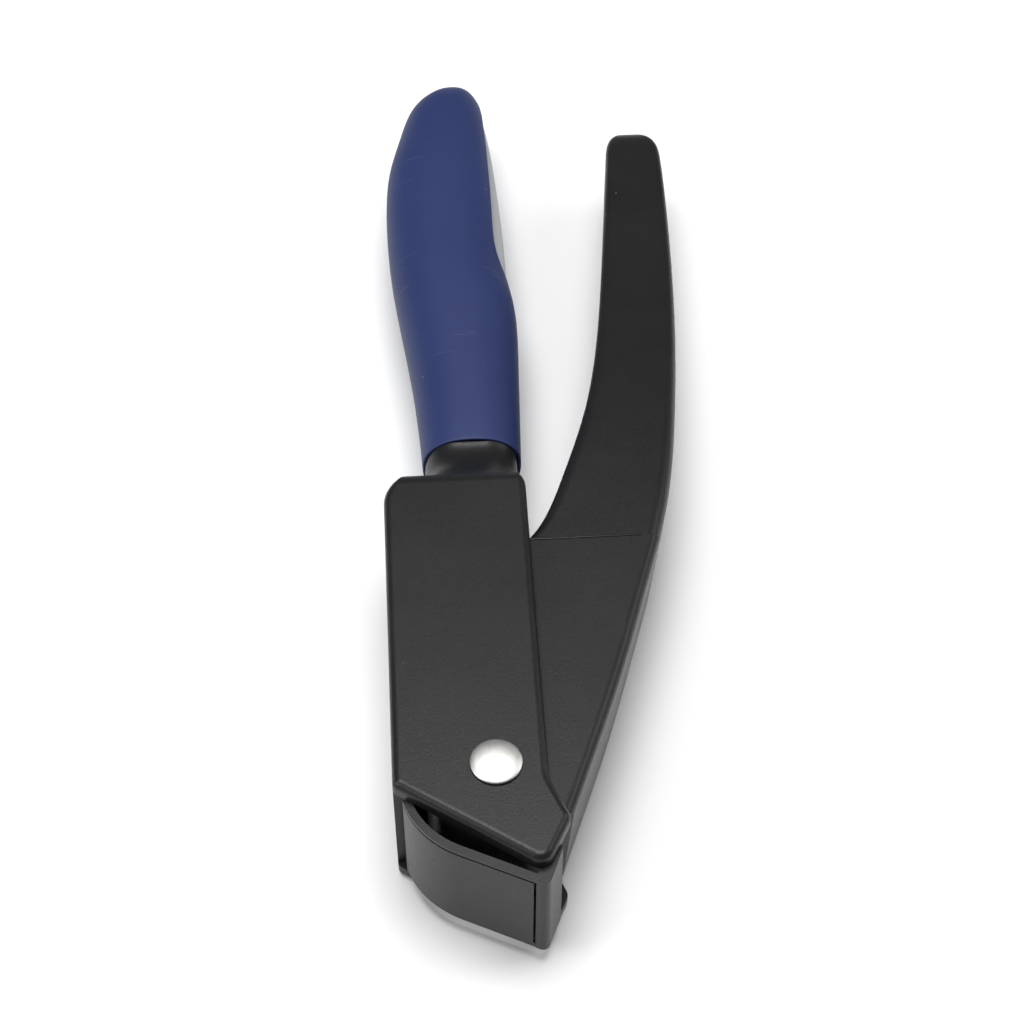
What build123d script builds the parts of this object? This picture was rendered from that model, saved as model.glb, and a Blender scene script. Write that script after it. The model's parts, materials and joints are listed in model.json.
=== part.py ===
from build123d import *
import math
import os

# Garlic press, lying on its side. Millimetres.
# Origin: where the rivet's axis meets the plane the press lies on.
# +X is the open side of the trough, +Y runs back to the handles, +Z is up through the two cheeks.

# ---- driving dimensions -------------------------------------------------------------------
FRAME_HEIGHT = 38.0       # over both cheeks
CHEEK_THICK = 4.0
SPINE_X = -22.5           # outer face of the closed side
SPINE_THICK = 3.5
MOUTH_X = 11.1            # edge of the cheeks on the open side
SHOULDER_Y = 84.0         # rear end of the trough
REAR_WALL = 6.0
CHEEK_EDGE_R = 1.8        # rounding all round a cheek
SHOULDER_R = 5.0          # rounding over the rear end

RIVET_R = 3.0
RIVET_CLEAR = 0.05        # running clearance on the rivet
RIVET_HEAD_R = 5.5
RIVET_DOME = 1.7          # height of the domed cap
RIVET_FLUSH = 1.2         # depth of the flush lower head
SPIGOT_R = 1.5

NOSE_INNER_R = 19.3
NOSE_OUTER_R = 21.1
NOSE_RIM = 0.9            # flange above the front panel
NOSE_LOW_RIM = 1.7        # flange below it
NOSE_STEP = 1.0           # setback of the lower flange
NOSE_END_WALL = 2.2       # thickness of the end wall, measured along the front
GROOVE = 0.5              # shadow gap round the front panel

SIDE_CLEAR = 0.5          # between the lever and each cheek
HUB_R = 15.2
LEVER_EDGE_R = 2.4        # rounding along the lever's back
BACK_DRAFT = 2.2          # how far the lever's back leans in over its full height
LEVER_SECTION_SHARE = 0.22  # rounding of the handle's corners as a share of its half thickness
CLOSE_ANGLE = 3.8         # degrees from rest to fully squeezed
PRESSER_GAP = 3.2         # presser to sieve when fully squeezed
PRESSER_THICK = 5.0
PRESSER_Y = (15.0, 43.0)  # in the squeezed position

SIEVE_Y = (14.0, 45.0)
SIEVE_Z = (5.5, 32.5)
SIEVE_THICK = 1.5
SIEVE_BORDER = 2.5        # plate that sits on the rabbet
SIEVE_HOLE_R = 0.9
SIEVE_PITCH = 3.0

GRIP_Y = 99.5             # where the grip meets the neck
NECK_SECTION = (-12.0, 10.3, 9.7)   # left x, right x and half thickness where it enters the grip
PLUG_STEP = 1.0           # step down from the neck to the plug inside the grip
NECK_END_Y = 105.5
TANG_Y = 150.0
CORE_THICK = 9.0
CORE_EDGE_R = 1.2
FIT = 0.1                 # gap of each blind fit

MID_Z = FRAME_HEIGHT / 2
INNER_LOW = CHEEK_THICK
INNER_HIGH = FRAME_HEIGHT - CHEEK_THICK
SPINE_INNER = SPINE_X + SPINE_THICK
LEVER_LOW = INNER_LOW + SIDE_CLEAR
LEVER_HIGH = INNER_HIGH - SIDE_CLEAR

# ---- outlines seen from above: each corner is x, y and its rounding -------------------------
CHEEK_CORNERS = [
    (SPINE_X, SHOULDER_Y, 10.0),
    (-22.3, -3.8, 1.5),
    (9.2, -25.2, 3.0),
    (15.2, -13.4, 2.5),
    (MOUTH_X, -3.5, 8.0),
    (MOUTH_X, SHOULDER_Y, 6.0),
]
NOSE_START_ANGLE = 196.0      # left end of the curved front
NOSE_BEND_ANGLE = 244.0       # where the curved front turns straight
NOSE_TIP_X = 9.5
NOSE_TIP_R = 1.6
NOSE_TOP = (13.4, -18.2)      # top of the end wall
PANEL_END_X = 6.4
LEVER_END_Y = 64.2            # step line across the lever
LEVER_END_RIGHT = 42.0
LEVER_BACK_CORNERS = [
    (16.2, -9.7, 0),
    (29.5, 25.0, 500),
    (LEVER_END_RIGHT, LEVER_END_Y, 0),
]
LEVER_FRONT_CORNERS = [
    (-4.0, LEVER_END_Y, 1.5),
    (-7.2, 45.0, 1.0),
    (-9.8, 15.0, 1.0),
    (-9.8, -3.0, 1.0),
    (5.0, -14.2, 1.0),
]
# Sections across the two handles: y, left x, right x, half thickness.
GRIP_SECTIONS = [
    (GRIP_Y, -13.1, 11.4, 10.8),
    (104.0, -13.3, 11.6, 11.1),
    (114.0, -13.8, 12.0, 11.5),
    (129.0, -15.0, 12.5, 11.9),
    (145.0, -17.0, 13.1, 12.1),
    (158.0, -18.5, 12.0, 12.1),
    (172.0, -19.8, 8.8, 11.9),
    (189.0, -20.2, 8.4, 11.5),
    (206.0, -19.4, 8.4, 10.9),
    (220.0, -16.1, 8.1, 10.0),
    (231.0, -13.0, 7.4, 8.6),
    (238.0, -8.8, 4.8, 5.8),
    (240.4, -4.6, 1.4, 2.6),
]
LEVER_GRIP_SECTIONS = [
    (LEVER_END_Y, 9.4, LEVER_END_RIGHT, 14.5),
    (72.2, 15.1, 44.2, 14.4),
    (85.0, 20.3, 47.0, 14.2),
    (105.0, 26.9, 50.0, 13.4),
    (130.0, 32.2, 52.8, 11.4),
    (160.0, 36.2, 55.0, 9.2),
    (190.0, 39.6, 56.2, 8.2),
    (204.0, 41.1, 56.4, 7.7),
    (211.5, 42.4, 55.4, 6.9),
    (215.5, 45.0, 52.2, 5.2),
]
# Edge of the grip's core, from the neck round the tip and back.
CORE_OUTLINE = [
    (-9.0, 107.0), (-12.0, 145.0), (-15.0, 172.0), (-16.3, 198.0), (-13.6, 216.0),
    (-8.4, 226.6), (-1.8, 229.6), (4.6, 225.0), (8.7, 213.0), (10.6, 197.0), (11.2, 174.0),
    (9.2, 148.0), (7.6, 107.0),
]


def rounded_face(corners):
    """Flat outline on the ground plane from (x, y, rounding) corners; 0 leaves a corner sharp."""
    face = make_face(Polyline(*[(x, y) for x, y, _ in corners], close=True))
    for x, y, radius in corners:
        if radius:
            face = fillet(face.vertices().sort_by_distance((x, y, 0))[0], radius)
    return face


def prism(face, low, high):
    """Straight solid on a face from one height to another."""
    return Pos(0, 0, low) * extrude(face, amount=high - low)


def block(x_range, y_range, z_range):
    """Rectangular block from its limits."""
    size = [b - a for a, b in (x_range, y_range, z_range)]
    centre = [(a + b) / 2 for a, b in (x_range, y_range, z_range)]
    return Pos(*centre) * Box(*size)


def cylinder(radius, low, high):
    """Upright cylinder on the rivet's axis."""
    return Pos(0, 0, (low + high) / 2) * Cylinder(radius, high - low)


def cross_section(y, left, right, half_height, corner_share):
    """Rounded rectangle that stands across the Y axis."""
    width = right - left
    corner = corner_share * min(width / 2, half_height)
    plane = Plane(origin=((left + right) / 2, y, MID_Z), x_dir=(1, 0, 0), z_dir=(0, -1, 0))
    return plane * RectangleRounded(width, 2 * half_height, corner)


def arc_about_rivet(radius, start_angle, end_angle):
    """Arc centred on the rivet, angles in degrees from +X."""
    return CenterArc((0, 0), radius, start_angle, end_angle - start_angle)


def on_circle(radius, angle):
    """Point at an angle on a circle about the rivet."""
    return (radius * math.cos(math.radians(angle)), radius * math.sin(math.radians(angle)))


# ---- fixed half: trough, nose, sieve and grip -----------------------------------------------
def neck():
    """Waist from the shoulder into the grip, with the tang that carries the grip's core."""
    stations = [
        (SHOULDER_Y - REAR_WALL, -20.4, 9.8, 17.0),
        (SHOULDER_Y - 1.0, -18.6, 10.0, 16.4),
        (87.5, -14.2, 10.1, 13.4),
        (92.5, -12.4, 10.2, 10.4),
        (GRIP_Y, *NECK_SECTION),
    ]
    body = loft([cross_section(*station, 0.8) for station in stations])
    return body + neck_plug(0.0) + tang(0.0)


def neck_plug(gap):
    """Straight end of the neck inside the grip, enlarged by a gap for its socket."""
    left, right, half_height = NECK_SECTION
    step = PLUG_STEP - gap
    end = cross_section(NECK_END_Y + 2 * gap, left + step, right - step, half_height - step, 0.86)
    return extrude(end, amount=NECK_END_Y - GRIP_Y + 4 * gap)


def tang(gap):
    """Flat tongue inside the grip, enlarged by a gap for the slot that takes it."""
    return block((-7 - gap, 5 + gap), (NECK_END_Y - 1, TANG_Y + gap), (MID_Z - 2.5 - gap, MID_Z + 2.5 + gap))


def sieve_window():
    """Opening through the spine, smaller than the sieve by its border."""
    return block((SPINE_X - 1, SPINE_INNER + 1),
                 (SIEVE_Y[0] + SIEVE_BORDER, SIEVE_Y[1] - SIEVE_BORDER),
                 (SIEVE_Z[0] + SIEVE_BORDER, SIEVE_Z[1] - SIEVE_BORDER))


def trough_frame():
    """Two cheeks, spine, rear wall and neck in one moulding."""
    outline = rounded_face(CHEEK_CORNERS)
    shell = prism(outline, 0, FRAME_HEIGHT)
    rims = shell.faces().sort_by(Axis.Z)
    shell = fillet(rims[0].edges() + rims[-1].edges(), CHEEK_EDGE_R)
    front = CHEEK_CORNERS[2][1] - 5
    side = Plane.YZ * Rectangle(SHOULDER_Y - front, FRAME_HEIGHT)
    side = fillet(side.vertices().sort_by(Axis.Y)[-2:], SHOULDER_R)
    side = extrude(Pos(0, (SHOULDER_Y + front) / 2, MID_Z) * side, amount=60, both=True)
    shell = shell & side
    cavity = block((SPINE_INNER, 40), (-60, SHOULDER_Y - REAR_WALL), (INNER_LOW, INNER_HIGH))
    front_gap = block((-60, 40), (-60, CHEEK_CORNERS[1][1] + 1.0), (INNER_LOW, INNER_HIGH))
    rabbet = block((SPINE_INNER - SIEVE_THICK, SPINE_INNER), SIEVE_Y, SIEVE_Z)
    bore = cylinder(RIVET_R, -1, FRAME_HEIGHT + 1)
    flush_seat = cylinder(RIVET_HEAD_R, -1, RIVET_FLUSH)
    solid = shell + neck()
    return solid - cavity - front_gap - rabbet - sieve_window() - bore - flush_seat


def front_line_y(x, setback):
    """Straight front of the nose, or a line behind it by a setback."""
    bend = math.radians(NOSE_BEND_ANGLE)
    radius = NOSE_OUTER_R - setback
    return (radius - x * math.cos(bend)) / math.sin(bend)


def nose_region(setback):
    """Nose seen from above: curved wall, straight wall, tip and end wall; the front may be set back."""
    outer = arc_about_rivet(NOSE_OUTER_R - setback, NOSE_START_ANGLE, NOSE_BEND_ANGLE)
    inner = arc_about_rivet(NOSE_INNER_R, NOSE_START_ANGLE, NOSE_BEND_ANGLE)
    tip = (NOSE_TIP_X, front_line_y(NOSE_TIP_X, setback))
    corner_x = NOSE_TIP_X - NOSE_END_WALL
    corner = (corner_x, front_line_y(corner_x, NOSE_OUTER_R - NOSE_INNER_R))
    inner_top = (NOSE_TOP[0] - NOSE_END_WALL, NOSE_TOP[1])
    face = make_face([
        outer,
        Line(outer @ 1, tip),
        Line(tip, NOSE_TOP),
        Line(NOSE_TOP, inner_top),
        Line(inner_top, corner),
        Line(corner, inner @ 1),
        inner,
        Line(inner @ 0, outer @ 0),
    ])
    face = fillet(face.vertices().sort_by_distance((*tip, 0))[0], NOSE_TIP_R)
    return fillet(face.vertices().sort_by_distance((*NOSE_TOP, 0))[0], 0.8)


def panel_region(grow):
    """Front panel seen from above, enlarged by a gap for its seat."""
    depth = NOSE_OUTER_R - NOSE_INNER_R
    end_x = PANEL_END_X + grow
    bend = on_circle(NOSE_OUTER_R, NOSE_BEND_ANGLE)
    bend_inside = on_circle(NOSE_INNER_R, NOSE_BEND_ANGLE)
    straight = make_face(Polyline(
        bend, (end_x, front_line_y(end_x, 0)), (end_x, front_line_y(end_x, depth)), bend_inside,
        close=True))
    sector = make_face(Polyline(
        (0, 0), on_circle(40, NOSE_START_ANGLE + 1.5), (-40, -40), on_circle(40, NOSE_BEND_ANGLE),
        close=True))
    curved = (Circle(NOSE_OUTER_R) - Circle(NOSE_INNER_R)) & sector
    return curved + straight


def front_nose():
    """Guard between the cheeks: rims, tip post and end wall round the panel's seat."""
    body = prism(nose_region(0.0), INNER_LOW + NOSE_LOW_RIM, INNER_HIGH)
    body += prism(nose_region(NOSE_STEP), INNER_LOW, INNER_LOW + NOSE_LOW_RIM)
    seat = prism(panel_region(GROOVE), INNER_LOW + NOSE_LOW_RIM, INNER_HIGH - NOSE_RIM)
    return body - seat


def nose_panel():
    """Curved plate that fills the nose's front."""
    return prism(panel_region(0.0), INNER_LOW + NOSE_LOW_RIM + GROOVE, INNER_HIGH - NOSE_RIM - GROOVE)


def sieve_plate():
    """Perforated plate in the spine's rabbet."""
    plate = block((SPINE_INNER - SIEVE_THICK, SPINE_INNER - FIT / 2),
                  (SIEVE_Y[0] + FIT, SIEVE_Y[1] - FIT), (SIEVE_Z[0] + FIT, SIEVE_Z[1] - FIT))
    columns = int((SIEVE_Y[1] - SIEVE_Y[0] - 2 * SIEVE_BORDER) / SIEVE_PITCH)
    rows = int((SIEVE_Z[1] - SIEVE_Z[0] - 2 * SIEVE_BORDER) / SIEVE_PITCH)
    across = Plane(origin=(SPINE_INNER - SIEVE_THICK / 2, sum(SIEVE_Y) / 2, MID_Z), z_dir=(1, 0, 0))
    holes = GridLocations(SIEVE_PITCH, SIEVE_PITCH, columns, rows)
    drills = [across * spot * Cylinder(SIEVE_HOLE_R, 2 * SIEVE_THICK) for spot in holes]
    return plate - drills


def grip_envelope():
    """Whole outer form of the grip."""
    return loft([cross_section(*section, 0.86) for section in GRIP_SECTIONS])


def grip_core_form():
    """Flat core of the grip before its slot is cut."""
    edge = Spline(*CORE_OUTLINE)
    outline = make_face([edge, Line(edge @ 1, edge @ 0)])
    return prism(outline, MID_Z - CORE_THICK / 2, MID_Z + CORE_THICK / 2)


def grip_core():
    """Core with the slot for the tang; its edge shows between the shells."""
    core = grip_core_form()
    rims = core.faces().filter_by(Axis.Z)
    core = fillet(rims.edges(), CORE_EDGE_R)
    return core - tang(FIT)


def grip_shell(low, high):
    """One half of the soft grip, split at the middle plane."""
    body = grip_envelope() & block((-60, 60), (GRIP_Y - 1, 240), (low, high))
    body = body - neck_plug(FIT) - tang(FIT) - grip_core_form()
    return body.solids().sort_by(SortBy.VOLUME)[-1]


def rivet_post():
    """Rivet's shank with its flush lower head and a spigot for the cap."""
    shank = cylinder(RIVET_R, 0, FRAME_HEIGHT)
    head = cylinder(RIVET_HEAD_R, 0, RIVET_FLUSH)
    spigot = cylinder(SPIGOT_R, FRAME_HEIGHT, FRAME_HEIGHT + 0.8)
    return shank + head + spigot


def rivet_cap():
    """Shallow dome pressed on the spigot."""
    ball_r = (RIVET_HEAD_R ** 2 + RIVET_DOME ** 2) / (2 * RIVET_DOME)
    ball = Pos(0, 0, FRAME_HEIGHT + RIVET_DOME - ball_r) * Sphere(ball_r)
    dome = ball & cylinder(RIVET_HEAD_R - 0.1, FRAME_HEIGHT, FRAME_HEIGHT + 3)
    return dome - cylinder(SPIGOT_R, FRAME_HEIGHT - 1, FRAME_HEIGHT + 0.8)


# ---- moving half: lever, presser and handle -------------------------------------------------
def lever_tang(gap):
    """Tongue from the lever into its handle, enlarged by a gap for the socket."""
    face = make_face(Polyline((22, 62), (36, 62), (44, 98), (32, 98), close=True))
    if gap:
        face = offset(face, gap)
    return prism(face, MID_Z - 7 - gap, MID_Z + 7 + gap)


def presser_region():
    """Presser seen from above, turned from the squeezed position to rest."""
    face_x = SPINE_INNER + PRESSER_GAP
    centre = (face_x + PRESSER_THICK / 2, sum(PRESSER_Y) / 2)
    plate = Pos(*centre) * RectangleRounded(PRESSER_THICK, PRESSER_Y[1] - PRESSER_Y[0], 0.6)
    return Rot(0, 0, -CLOSE_ANGLE) * plate


def presser_pegs(gap):
    """Two pegs that hold the presser in the lever."""
    pegs = []
    for y in (22.0, 36.0):
        peg = Pos(SPINE_INNER + PRESSER_GAP + PRESSER_THICK + 2, y, MID_Z) * Rot(0, 90, 0)
        pegs.append(Rot(0, 0, -CLOSE_ANGLE) * peg * Cylinder(2.5 + gap, 6 + 2 * gap))
    return pegs


def presser_block():
    """Block that drives the clove against the sieve."""
    body = prism(presser_region(), SIEVE_Z[0] + 1.5, SIEVE_Z[1] - 1.5)
    return body + presser_pegs(0.0)


def lever_outline(draft):
    """Lever seen from above, with its back moved in by a draft."""
    back = [(x - draft, y, radius) for x, y, radius in LEVER_BACK_CORNERS]
    return rounded_face(back + LEVER_FRONT_CORNERS)


def lever_back_edges(body):
    """Upper and lower edges along the lever's back."""
    rims = [edge for edge in body.edges() if abs(edge.center().Z - MID_Z) > LEVER_HIGH - MID_Z - 0.1]
    return ShapeList([edge for edge in rims if edge.center().X > 15 + edge.center().Y / 3])


def lever_section(y, left, right, half_height):
    """Section across the lever's handle: its back leans in towards the bottom."""
    draft = BACK_DRAFT * half_height / (LEVER_HIGH - MID_Z)
    round_r = LEVER_SECTION_SHARE * half_height
    corners = [
        (left, half_height, round_r),
        (right, half_height, round_r),
        (right - draft, -half_height, round_r),
        (left, -half_height, round_r),
    ]
    return Plane(origin=(0, y, MID_Z), x_dir=(1, 0, 0), z_dir=(0, -1, 0)) * rounded_face(corners)


def lever_arm():
    """Flat-sided wedge between the cheeks, with hub, presser seat and tang."""
    body = loft([Pos(0, 0, LEVER_LOW) * lever_outline(BACK_DRAFT), Pos(0, 0, LEVER_HIGH) * lever_outline(0)])
    body = fillet(lever_back_edges(body), LEVER_EDGE_R)
    body += cylinder(HUB_R, LEVER_LOW, LEVER_HIGH)
    body -= prism(presser_region(), LEVER_LOW - 1, LEVER_HIGH + 1)
    for centre_z in (MID_Z - 6.2, MID_Z + 6.2):
        body -= block((-20, 26), (48.5, 60.5), (centre_z - 4.7, centre_z + 4.7))
    body -= presser_pegs(FIT)
    body -= cylinder(RIVET_R + RIVET_CLEAR, 0, FRAME_HEIGHT)
    return body + lever_tang(0.0)


def lever_grip():
    """Plain tapering handle on the lever's tang."""
    body = loft([lever_section(*section) for section in LEVER_GRIP_SECTIONS])
    return body - lever_tang(FIT)


NODES = {
    "trough_frame": trough_frame,
    "front_nose": front_nose,
    "nose_panel": nose_panel,
    "sieve_plate": sieve_plate,
    "grip_core": grip_core,
    "grip_shell_upper": lambda: grip_shell(MID_Z, FRAME_HEIGHT),
    "grip_shell_lower": lambda: grip_shell(0, MID_Z),
    "rivet_post": rivet_post,
    "rivet_cap": rivet_cap,
    "lever_arm": lever_arm,
    "presser_block": presser_block,
    "lever_grip": lever_grip,
}

os.makedirs("parts", exist_ok=True)
for node, make in NODES.items():
    export_step(make(), f"parts/{node}.step")
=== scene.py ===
import json
import math
import bpy
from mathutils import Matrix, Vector


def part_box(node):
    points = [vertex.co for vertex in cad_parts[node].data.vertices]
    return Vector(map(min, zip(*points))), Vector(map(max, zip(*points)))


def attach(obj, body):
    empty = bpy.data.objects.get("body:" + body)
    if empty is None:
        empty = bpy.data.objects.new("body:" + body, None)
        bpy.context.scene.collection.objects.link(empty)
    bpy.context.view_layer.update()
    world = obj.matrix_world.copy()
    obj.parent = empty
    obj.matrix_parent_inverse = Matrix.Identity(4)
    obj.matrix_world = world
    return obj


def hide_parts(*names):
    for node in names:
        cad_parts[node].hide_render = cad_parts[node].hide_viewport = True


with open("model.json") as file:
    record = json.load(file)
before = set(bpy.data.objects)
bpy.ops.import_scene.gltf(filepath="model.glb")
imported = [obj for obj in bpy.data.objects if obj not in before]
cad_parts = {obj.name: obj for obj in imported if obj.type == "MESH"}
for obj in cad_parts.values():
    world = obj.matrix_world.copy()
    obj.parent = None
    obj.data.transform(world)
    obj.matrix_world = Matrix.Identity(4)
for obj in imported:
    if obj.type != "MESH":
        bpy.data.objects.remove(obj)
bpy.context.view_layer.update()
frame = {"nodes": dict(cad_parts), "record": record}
MM = 0.001

# Tones of the two mouldings, as linear colours.
NYLON_DARK = (0.0080, 0.0082, 0.0088)
NYLON_LIGHT = (0.0112, 0.0115, 0.0122)
NYLON_GLOSS = 0.32
BLUE_DARK = (0.0134, 0.0247, 0.0975)
BLUE_LIGHT = (0.0160, 0.0288, 0.1100)


# ---- finishes ---------------------------------------------------------------------------------
def new_finish(name):
    """Empty material with its shader and nodes to hand."""
    material = bpy.data.materials.new(name)
    material.use_nodes = True
    nodes = material.node_tree.nodes
    return material, nodes, material.node_tree.links, nodes["Principled BSDF"]


def object_coordinates(nodes, links, scale):
    """Coordinates of the piece itself, stretched per axis."""
    place = nodes.new("ShaderNodeTexCoord")
    mapping = nodes.new("ShaderNodeMapping")
    mapping.inputs["Scale"].default_value = scale
    links.new(place.outputs["Object"], mapping.inputs["Vector"])
    return mapping.outputs["Vector"]


def noise(nodes, links, vector, scale, detail=4.0, roughness=0.55):
    """Noise pattern; scale is in features a metre."""
    tex = nodes.new("ShaderNodeTexNoise")
    tex.inputs["Scale"].default_value = scale
    tex.inputs["Detail"].default_value = detail
    tex.inputs["Roughness"].default_value = roughness
    links.new(vector, tex.inputs["Vector"])
    return tex.outputs["Fac"]


def spread(nodes, links, source, low, high, from_low=0.3, from_high=0.7):
    """Pattern value spread over a range."""
    node = nodes.new("ShaderNodeMapRange")
    node.inputs["From Min"].default_value = from_low
    node.inputs["From Max"].default_value = from_high
    node.inputs["To Min"].default_value = low
    node.inputs["To Max"].default_value = high
    links.new(source, node.inputs["Value"])
    return node.outputs["Result"]


def two_tone(nodes, links, source, dark, light):
    """Colour between two tones, led by a pattern value."""
    ramp = nodes.new("ShaderNodeValToRGB")
    ramp.color_ramp.elements[0].color = (*dark, 1)
    ramp.color_ramp.elements[1].color = (*light, 1)
    links.new(source, ramp.inputs["Fac"])
    return ramp.outputs["Color"]


def relief(nodes, links, height, strength, distance):
    """Bump from a height pattern; distance is in metres."""
    node = nodes.new("ShaderNodeBump")
    node.inputs["Strength"].default_value = strength
    node.inputs["Distance"].default_value = distance
    links.new(height, node.inputs["Height"])
    return node.outputs["Normal"]


def specks(nodes, links, vector, per_metre, radius_share, kept):
    """Sparse round specks; kept is the share of cells that hold one."""
    cells = nodes.new("ShaderNodeTexVoronoi")
    cells.inputs["Scale"].default_value = per_metre
    cells.inputs["Randomness"].default_value = 1.0
    links.new(vector, cells.inputs["Vector"])
    spot = spread(nodes, links, cells.outputs["Distance"], 1, 0, radius_share * 0.6, radius_share)
    split = nodes.new("ShaderNodeSeparateColor")
    links.new(cells.outputs["Color"], split.inputs["Color"])
    chosen = spread(nodes, links, split.outputs["Red"], 0, 1, 1 - kept, 1 - kept + 0.01)
    return times(nodes, links, spot, chosen)


def times(nodes, links, first, second):
    """Product of two pattern values."""
    node = nodes.new("ShaderNodeMath")
    node.operation = "MULTIPLY"
    for socket, source in zip(node.inputs, (first, second)):
        if isinstance(source, float):
            socket.default_value = source
        else:
            links.new(source, socket)
    return node.outputs["Value"]


def plus(nodes, links, first, second):
    """Sum of two pattern values, held under one."""
    node = nodes.new("ShaderNodeMath")
    node.operation = "ADD"
    node.use_clamp = True
    links.new(first, node.inputs[0])
    links.new(second, node.inputs[1])
    return node.outputs["Value"]


def hairlines(nodes, links, stretch, turn):
    """Faint scratches: thin bands of a stretched, turned noise."""
    place = nodes.new("ShaderNodeTexCoord")
    mapping = nodes.new("ShaderNodeMapping")
    mapping.inputs["Scale"].default_value = stretch
    mapping.inputs["Rotation"].default_value = (0, 0, turn)
    links.new(place.outputs["Object"], mapping.inputs["Vector"])
    band = noise(nodes, links, mapping.outputs["Vector"], 1.0, 2, 0.4)
    line = spread(nodes, links, band, 0, 1, 0.655, 0.675)
    patch = noise(nodes, links, place.outputs["Object"], 55, 2)
    return times(nodes, links, line, spread(nodes, links, patch, 0, 1, 0.56, 0.66))


def mixed(nodes, links, share, under, over):
    """One colour laid over another by a pattern value."""
    node = nodes.new("ShaderNodeMix")
    node.data_type = "RGBA"
    links.new(share, node.inputs["Factor"])
    links.new(under, node.inputs["A"])
    node.inputs["B"].default_value = (*over, 1)
    return node.outputs["Result"]


def nylon():
    """Black satin nylon: fine sparked grain, a few dust specks and barely visible scratches."""
    material, nodes, links, shader = new_finish("satin_nylon")
    where = object_coordinates(nodes, links, (1, 1, 1))
    cloud = noise(nodes, links, where, 60, 3)
    grain = noise(nodes, links, where, 1900, 3, 0.6)
    tone = two_tone(nodes, links, spread(nodes, links, cloud, 0, 1), NYLON_DARK, NYLON_LIGHT)
    dust = specks(nodes, links, where, 210, 0.05, 0.10)
    scratch = hairlines(nodes, links, (900, 30, 30), 0.5)
    marks = plus(nodes, links, times(nodes, links, dust, 0.5), times(nodes, links, scratch, 0.012))
    links.new(mixed(nodes, links, marks, tone, (0.30, 0.31, 0.33)), shader.inputs["Base Color"])
    links.new(spread(nodes, links, grain, 0.33, 0.43), shader.inputs["Roughness"])
    links.new(relief(nodes, links, grain, 0.35, 0.00010), shader.inputs["Normal"])
    shader.inputs["Specular IOR Level"].default_value = NYLON_GLOSS
    return material


def soft_blue():
    """Matte blue soft-touch rubber with dust specks and faint scuffs."""
    material, nodes, links, shader = new_finish("soft_blue")
    where = object_coordinates(nodes, links, (1, 1, 1))
    cloud = noise(nodes, links, where, 45, 3)
    grain = noise(nodes, links, where, 2600, 3, 0.6)
    tone = two_tone(nodes, links, spread(nodes, links, cloud, 0, 1), BLUE_DARK, BLUE_LIGHT)
    dust = specks(nodes, links, where, 260, 0.065, 0.16)
    large_dust = specks(nodes, links, where, 95, 0.04, 0.16)
    scratch = hairlines(nodes, links, (40, 900, 30), 0.9)
    marks = plus(nodes, links, times(nodes, links, dust, 0.35), times(nodes, links, large_dust, 0.8))
    marks = plus(nodes, links, marks, times(nodes, links, scratch, 0.05))
    links.new(mixed(nodes, links, marks, tone, (0.55, 0.60, 0.70)), shader.inputs["Base Color"])
    links.new(spread(nodes, links, grain, 0.50, 0.62), shader.inputs["Roughness"])
    links.new(relief(nodes, links, grain, 0.3, 0.00008), shader.inputs["Normal"])
    shader.inputs["Specular IOR Level"].default_value = 0.35
    return material


def pale_core():
    """Pale grey moulded plastic."""
    material, nodes, links, shader = new_finish("pale_core")
    where = object_coordinates(nodes, links, (1, 1, 1))
    grain = noise(nodes, links, where, 1800, 3)
    tone = two_tone(nodes, links, grain, (0.31, 0.32, 0.335), (0.36, 0.37, 0.385))
    links.new(tone, shader.inputs["Base Color"])
    links.new(spread(nodes, links, grain, 0.38, 0.5), shader.inputs["Roughness"])
    return material


def stamped_steel():
    """Stainless sheet with fine rolling lines."""
    material, nodes, links, shader = new_finish("stamped_steel")
    where = object_coordinates(nodes, links, (1, 1, 14))
    lines = noise(nodes, links, where, 700, 4)
    shader.inputs["Metallic"].default_value = 1.0
    tone = two_tone(nodes, links, lines, (0.52, 0.51, 0.50), (0.66, 0.65, 0.63))
    links.new(tone, shader.inputs["Base Color"])
    links.new(spread(nodes, links, lines, 0.22, 0.38), shader.inputs["Roughness"])
    return material


def polished_steel():
    """Satin-polished rivet dome with faint wear."""
    material, nodes, links, shader = new_finish("polished_steel")
    where = object_coordinates(nodes, links, (1, 1, 1))
    wear = noise(nodes, links, where, 900, 5)
    shader.inputs["Metallic"].default_value = 1.0
    tone = two_tone(nodes, links, wear, (0.66, 0.65, 0.63), (0.72, 0.71, 0.69))
    links.new(tone, shader.inputs["Base Color"])
    links.new(spread(nodes, links, wear, 0.42, 0.48), shader.inputs["Roughness"])
    return material


FINISHES = {
    "black_nylon": nylon(),
    "blue_grip": soft_blue(),
    "grey_core": pale_core(),
    "stainless": stamped_steel(),
    "polished_rivet": polished_steel(),
}
SLOT_OF = {part["node"]: part["material_slot"] for part in frame["record"]["subparts"]}


def finish_cad_nodes():
    """Give every CAD node the finish of its slot."""
    for node, piece in frame["nodes"].items():
        piece.data.materials.clear()
        piece.data.materials.append(FINISHES[SLOT_OF[node]])


# ---- modelled pieces --------------------------------------------------------------------------
MID_Z = (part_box("grip_core")[0][2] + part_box("grip_core")[1][2]) / 2
GRIP_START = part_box("grip_shell_upper")[0][1]

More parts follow.
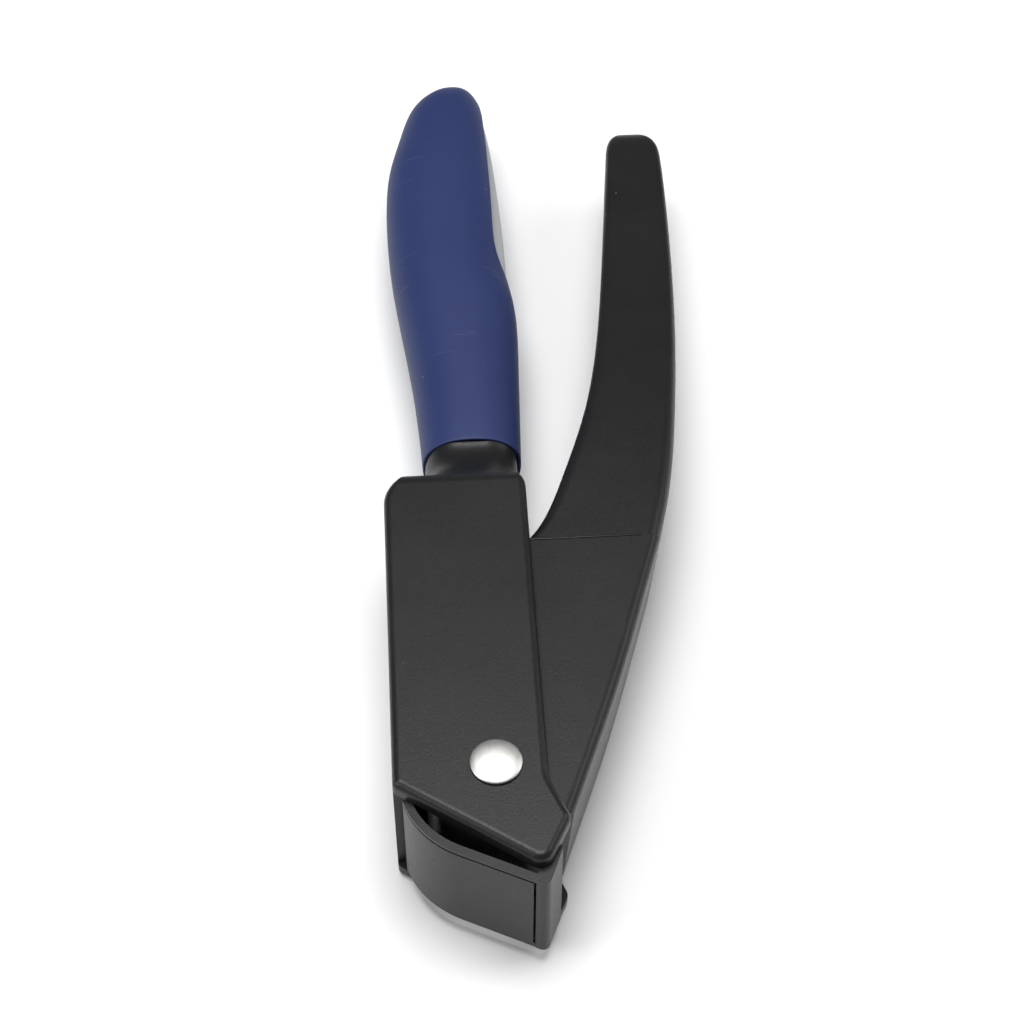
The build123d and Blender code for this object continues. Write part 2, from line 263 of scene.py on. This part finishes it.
RIVET_ROLL = 0.3 * MM         # rolled edge beyond the plain dome
GRIP_ROUNDNESS = 0.86         # corner rounding as a share of the half section
CORE_ROUNDNESS = 0.55
CORNER_STEPS = 6
COLLAR_LIP = 0.5 * MM         # flat lip at the collar
COLLAR_SEAT = 0.9 * MM        # band inside the lip
COLLAR_DISH = 0.3 * MM        # how far the collar's middle is sunk
COLLAR_DEPTH = 5.0 * MM       # depth of the pocket round the neck
OPEN_SIDE_RIGHT = 40.0        # far side and half height of the form that opens the covering, in mm
OPEN_SIDE_HALF = 25.0
COVER_EDGE_R = 0.22 * MM      # softened edge of each covering half
BEAD_X = (4.0 * MM, 37.5 * MM)  # ends of the line across the lever
BEAD_WIDTH = 0.6 * MM
BEAD_HEIGHT = 0.5 * MM        # half of it stands above the face
BEAD_EDGE_R = 0.16 * MM

# Stations along a handle: distance behind the collar, left x, right x, half thickness. Millimetres.
GRIP_FORM = [
    (0.0, -13.1, 11.4, 10.8),
    (0.7, -13.15, 11.45, 10.85),
    (4.5, -13.3, 11.6, 11.1),
    (14.5, -13.8, 12.0, 11.5),
    (29.5, -15.0, 12.6, 11.9),
    (45.5, -17.0, 13.3, 12.1),
    (54.5, -18.1, 12.9, 12.1),
    (61.0, -18.8, 11.7, 12.1),
    (68.0, -19.5, 11.3, 12.0),
    (84.0, -20.3, 11.2, 11.7),
    (98.0, -20.0, 11.0, 11.4),
    (106.0, -19.2, 10.6, 11.1),
    (112.5, -17.8, 10.1, 10.8),
    (120.0, -15.9, 9.6, 10.3),
    (127.0, -14.2, 8.9, 9.6),
    (132.0, -12.4, 8.1, 8.7),
    (136.0, -9.6, 7.0, 7.4),
    (139.2, -6.4, 5.6, 5.6),
    (141.2, -3.4, 3.9, 3.6),
    (142.0, -0.9, 1.9, 1.5),
]
CORE_FORM = [
    (8.0, -9.0, 7.4, 4.5),
    (30.0, -11.5, 8.2, 4.5),
    (50.0, -14.0, 9.6, 4.5),
    (60.0, -15.2, 11.3, 4.5),
    (72.0, -16.2, 11.4, 4.5),
    (88.0, -17.0, 11.0, 4.5),
    (104.0, -16.6, 10.3, 4.5),
    (115.5, -14.8, 9.5, 4.5),
    (124.0, -12.6, 8.6, 4.5),
    (131.0, -9.8, 7.0, 4.4),
    (135.5, -6.4, 5.0, 4.0),
    (137.5, -3.2, 2.4, 3.0),
]
# Open side of the blue covering: distance behind the collar and x of its edge.
COVER_EDGE = [
    (59.0, 12.6), (62.0, 11.0), (65.0, 9.9), (68.5, 9.0), (72.5, 8.5), (78.0, 8.4), (94.0, 8.5),
    (113.0, 8.3), (127.0, 7.9), (135.0, 7.2), (146.0, 6.0),
]


def only(piece):
    """Make one object the whole selection."""
    bpy.ops.object.select_all(action="DESELECT")
    piece.select_set(True)
    bpy.context.view_layer.objects.active = piece


def apply_modifier(piece, kind, **settings):
    """Add a modifier and apply it at once."""
    only(piece)
    modifier = piece.modifiers.new(kind.lower(), kind)
    for key, value in settings.items():
        setattr(modifier, key, value)
    bpy.ops.object.modifier_apply(modifier=modifier.name)


def place_in_mesh(piece):
    """Put the object at the origin, with its place in its mesh."""
    only(piece)
    bpy.ops.object.transform_apply(location=True, rotation=True, scale=True)


def point_outwards(piece):
    """Recalculate the normals of a closed form."""
    only(piece)
    bpy.ops.object.mode_set(mode="EDIT")
    bpy.ops.mesh.select_all(action="SELECT")
    bpy.ops.mesh.normals_make_consistent(inside=False)
    bpy.ops.object.mode_set(mode="OBJECT")


def drawn_along(name, stations, corner_share):
    """Closed form drawn out along the handle, from one rounded section to the next."""
    bpy.ops.object.select_all(action="DESELECT")
    bpy.ops.mesh.primitive_plane_add(size=2 * MM, location=(0, 0, 0), rotation=(math.pi / 2, 0, 0))
    piece = bpy.context.active_object
    piece.name = name
    place_in_mesh(piece)
    bpy.ops.object.mode_set(mode="EDIT")
    bpy.ops.mesh.select_all(action="SELECT")
    if corner_share:
        bpy.ops.mesh.bevel(affect="VERTICES", offset=corner_share * MM, segments=CORNER_STEPS)
        bpy.ops.mesh.select_all(action="SELECT")
    centre, half = (0.0, 0.0, 0.0), (1.0, 1.0)
    for index, (back, left, right, thick) in enumerate(stations):
        target = ((left + right) / 2 * MM, GRIP_START + back * MM, MID_Z)
        step = [there - here for here, there in zip(centre, target)]
        if index:
            bpy.ops.mesh.extrude_region_move(TRANSFORM_OT_translate={"value": step})
        else:
            bpy.ops.transform.translate(value=step)
        grow = ((right - left) / 2 / half[0], 1, thick / half[1])
        bpy.ops.transform.resize(value=grow, center_override=target)
        centre, half = target, ((right - left) / 2, thick)
    bpy.ops.object.mode_set(mode="OBJECT")
    point_outwards(piece)
    return piece


def half_of(piece, name, upper):
    """Copy of one half of a form, cut and closed at the middle plane."""
    half = piece.copy()
    half.data = piece.data.copy()
    half.name = name
    bpy.context.scene.collection.objects.link(half)
    only(half)
    bpy.ops.object.mode_set(mode="EDIT")
    bpy.ops.mesh.select_all(action="SELECT")
    bpy.ops.mesh.bisect(plane_co=(0, 0, MID_Z), plane_no=(0, 0, 1), use_fill=True,
                        clear_inner=upper, clear_outer=not upper)
    bpy.ops.object.mode_set(mode="OBJECT")
    point_outwards(half)
    return half


def finish_piece(piece, body, slot, *nodes):
    """Give a piece the finish of its slot, smooth shading and its body, and hide the nodes it stands
    for.
    """
    only(piece)
    bpy.ops.object.shade_smooth_by_angle(angle=math.radians(35))
    piece.data.materials.clear()
    piece.data.materials.append(FINISHES[slot])
    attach(piece, body)
    if nodes:
        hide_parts(*nodes)


def blue_covering():
    """Two soft halves round the core, open along one side towards the tip."""
    form = drawn_along("grip_form", GRIP_FORM, GRIP_ROUNDNESS)
    only(form)
    bpy.ops.object.mode_set(mode="EDIT")
    bpy.ops.mesh.select_all(action="DESELECT")
    bpy.ops.object.mode_set(mode="OBJECT")
    collar = min(form.data.polygons, key=lambda face: face.center.y)
    collar.select = True
    bpy.ops.object.mode_set(mode="EDIT")
    bpy.ops.mesh.select_mode(type="FACE")
    bpy.ops.mesh.inset(thickness=COLLAR_LIP)
    bpy.ops.mesh.inset(thickness=COLLAR_SEAT)
    bpy.ops.transform.translate(value=(0, COLLAR_DISH, 0))
    bpy.ops.mesh.extrude_region_move(TRANSFORM_OT_translate={"value": (0, COLLAR_DEPTH, 0)})
    bpy.ops.object.mode_set(mode="OBJECT")
    apply_modifier(form, "SUBSURF", levels=2, render_levels=2)
    side = [(back, edge, OPEN_SIDE_RIGHT, OPEN_SIDE_HALF) for back, edge in COVER_EDGE]
    cutter = drawn_along("open_side", side, 0)
    apply_modifier(form, "BOOLEAN", operation="DIFFERENCE", solver="EXACT", object=cutter)
    bpy.data.objects.remove(cutter)
    for name, node, upper in (("soft_cover_upper", "grip_shell_upper", True),
                              ("soft_cover_lower", "grip_shell_lower", False)):
        half = half_of(form, name, upper)
        apply_modifier(half, "BEVEL", width=COVER_EDGE_R, segments=2, limit_method="ANGLE",
                       angle_limit=math.radians(50), harden_normals=False)
        finish_piece(half, "frame", "blue_grip", node)
    bpy.data.objects.remove(form)


def pale_edge():
    """Core of the grip, whose edge shows along the open side of the covering."""
    core = drawn_along("grip_core_edge", CORE_FORM, CORE_ROUNDNESS)
    apply_modifier(core, "SUBSURF", levels=2, render_levels=2)
    finish_piece(core, "frame", "grey_core", "grip_core")


def rivet_dome():
    """Satin-polished head with an undercut, a rolled edge and a shallow crown."""
    low, high = (Vector(corner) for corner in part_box("rivet_cap"))
    radius = (high.x - low.x) / 2 + RIVET_ROLL
    crown = high.z - low.z
    rings = [(0.92, 0.0), (0.94, 0.10), (0.99, 0.20), (1.0, 0.34), (0.985, 0.45), (0.93, 0.56),
             (0.82, 0.70), (0.64, 0.85), (0.42, 0.95), (0.20, 0.99), (0.05, 1.0)]
    bpy.ops.object.select_all(action="DESELECT")
    middle = ((low.x + high.x) / 2, (low.y + high.y) / 2)
    bpy.ops.mesh.primitive_circle_add(vertices=48, radius=radius * rings[0][0], fill_type="NGON",
                                      location=(*middle, low.z))
    dome = bpy.context.active_object
    dome.name = "rivet_dome"
    place_in_mesh(dome)
    bpy.ops.object.mode_set(mode="EDIT")
    bpy.ops.mesh.select_all(action="SELECT")
    for (share, height), (next_share, next_height) in zip(rings, rings[1:]):
        rise = (next_height - height) * crown
        bpy.ops.mesh.extrude_region_move(TRANSFORM_OT_translate={"value": (0, 0, rise)})
        grow = next_share / share
        bpy.ops.transform.resize(value=(grow, grow, 1), center_override=(*middle, low.z))
    bpy.ops.object.mode_set(mode="OBJECT")
    point_outwards(dome)
    apply_modifier(dome, "SUBSURF", levels=2, render_levels=2)
    finish_piece(dome, "frame", "polished_rivet", "rivet_cap")


def step_bead():
    """Fine raised line across the lever, where its handle begins, on both faces."""
    low, high = (Vector(corner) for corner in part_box("lever_arm"))
    line_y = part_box("lever_grip")[0][1]
    left, right = BEAD_X
    for name, face_z in (("step_bead_upper", high.z), ("step_bead_lower", low.z)):
        bpy.ops.object.select_all(action="DESELECT")
        bpy.ops.mesh.primitive_cube_add(size=1, location=((left + right) / 2, line_y, face_z))
        bead = bpy.context.active_object
        bead.name = name
        bead.scale = (right - left, BEAD_WIDTH, BEAD_HEIGHT)
        place_in_mesh(bead)
        bpy.ops.object.mode_set(mode="EDIT")
        bpy.ops.mesh.select_all(action="SELECT")
        bpy.ops.mesh.bevel(offset=BEAD_EDGE_R, segments=3)
        bpy.ops.object.mode_set(mode="OBJECT")
        finish_piece(bead, "lever", "black_nylon")


# ---- stage ------------------------------------------------------------------------------------
def plain_floor():
    """Pale floor under the press."""
    bpy.ops.object.select_all(action="DESELECT")
    bpy.ops.mesh.primitive_plane_add(size=6.0, location=(0, 0.1, 0))
    floor = bpy.context.active_object
    floor.name = "floor"
    material, nodes, links, shader = new_finish("paper_floor")
    shader.inputs["Base Color"].default_value = (0.86, 0.86, 0.86, 1)
    shader.inputs["Roughness"].default_value = 0.9
    floor.data.materials.append(material)


def soft_light(name, place, aim, size, power):
    """Square area light that looks at a point."""
    data = bpy.data.lights.new(name, "AREA")
    data.shape = "SQUARE"
    data.size = size
    data.energy = power
    lamp = bpy.data.objects.new(name, data)
    lamp.location = place
    lamp.rotation_euler = (Vector(aim) - Vector(place)).to_track_quat("-Z", "Y").to_euler()
    bpy.context.scene.collection.objects.link(lamp)


# Lamps: name, place, the point it looks at, size and power.
LAMPS = [
    ("overhead", (-0.05, 0.16, 1.3), (0, 0.05, 0), 0.8, 18),
    ("front_left", (-1.15, -0.3, 0.75), (0, 0.05, 0), 0.7, 8),
    ("right", (1.0, 0.3, 0.7), (0, 0.1, 0), 0.7, 4),
]
BACKGROUND_STRENGTH = 0.12


def lights():
    """Soft studio light from above and from both sides, over a dim even background."""
    for lamp in LAMPS:
        soft_light(*lamp)
    world = bpy.data.worlds.new("studio")
    bpy.context.scene.world = world
    world.use_nodes = True
    world.node_tree.nodes["Background"].inputs["Color"].default_value = (1, 1, 1, 1)
    world.node_tree.nodes["Background"].inputs["Strength"].default_value = BACKGROUND_STRENGTH
    bpy.context.scene.view_settings.view_transform = "Standard"


# Camera in the press's own frame.
CAMERA_PLACE = Vector((-11.4, -256.5, 433.6)) * MM
CAMERA_HEADING = (0.0575, 0.998)
CAMERA_TILT = math.radians(50.5)
CAMERA_LENS = 77.34


def camera():
    """Long lens, looking down over the nose towards the handles."""
    data = bpy.data.cameras.new("camera")
    data.lens = CAMERA_LENS
    data.sensor_width = 36.0
    data.clip_start = 0.01
    view = bpy.data.objects.new("camera", data)
    view.location = CAMERA_PLACE
    level = math.cos(CAMERA_TILT)
    aim = Vector((CAMERA_HEADING[0] * level, CAMERA_HEADING[1] * level, -math.sin(CAMERA_TILT)))
    view.rotation_euler = aim.to_track_quat("-Z", "Y").to_euler()
    bpy.context.scene.collection.objects.link(view)
    bpy.context.scene.camera = view


finish_cad_nodes()
blue_covering()
pale_edge()
rivet_dome()
step_bead()
plain_floor()
lights()
camera()
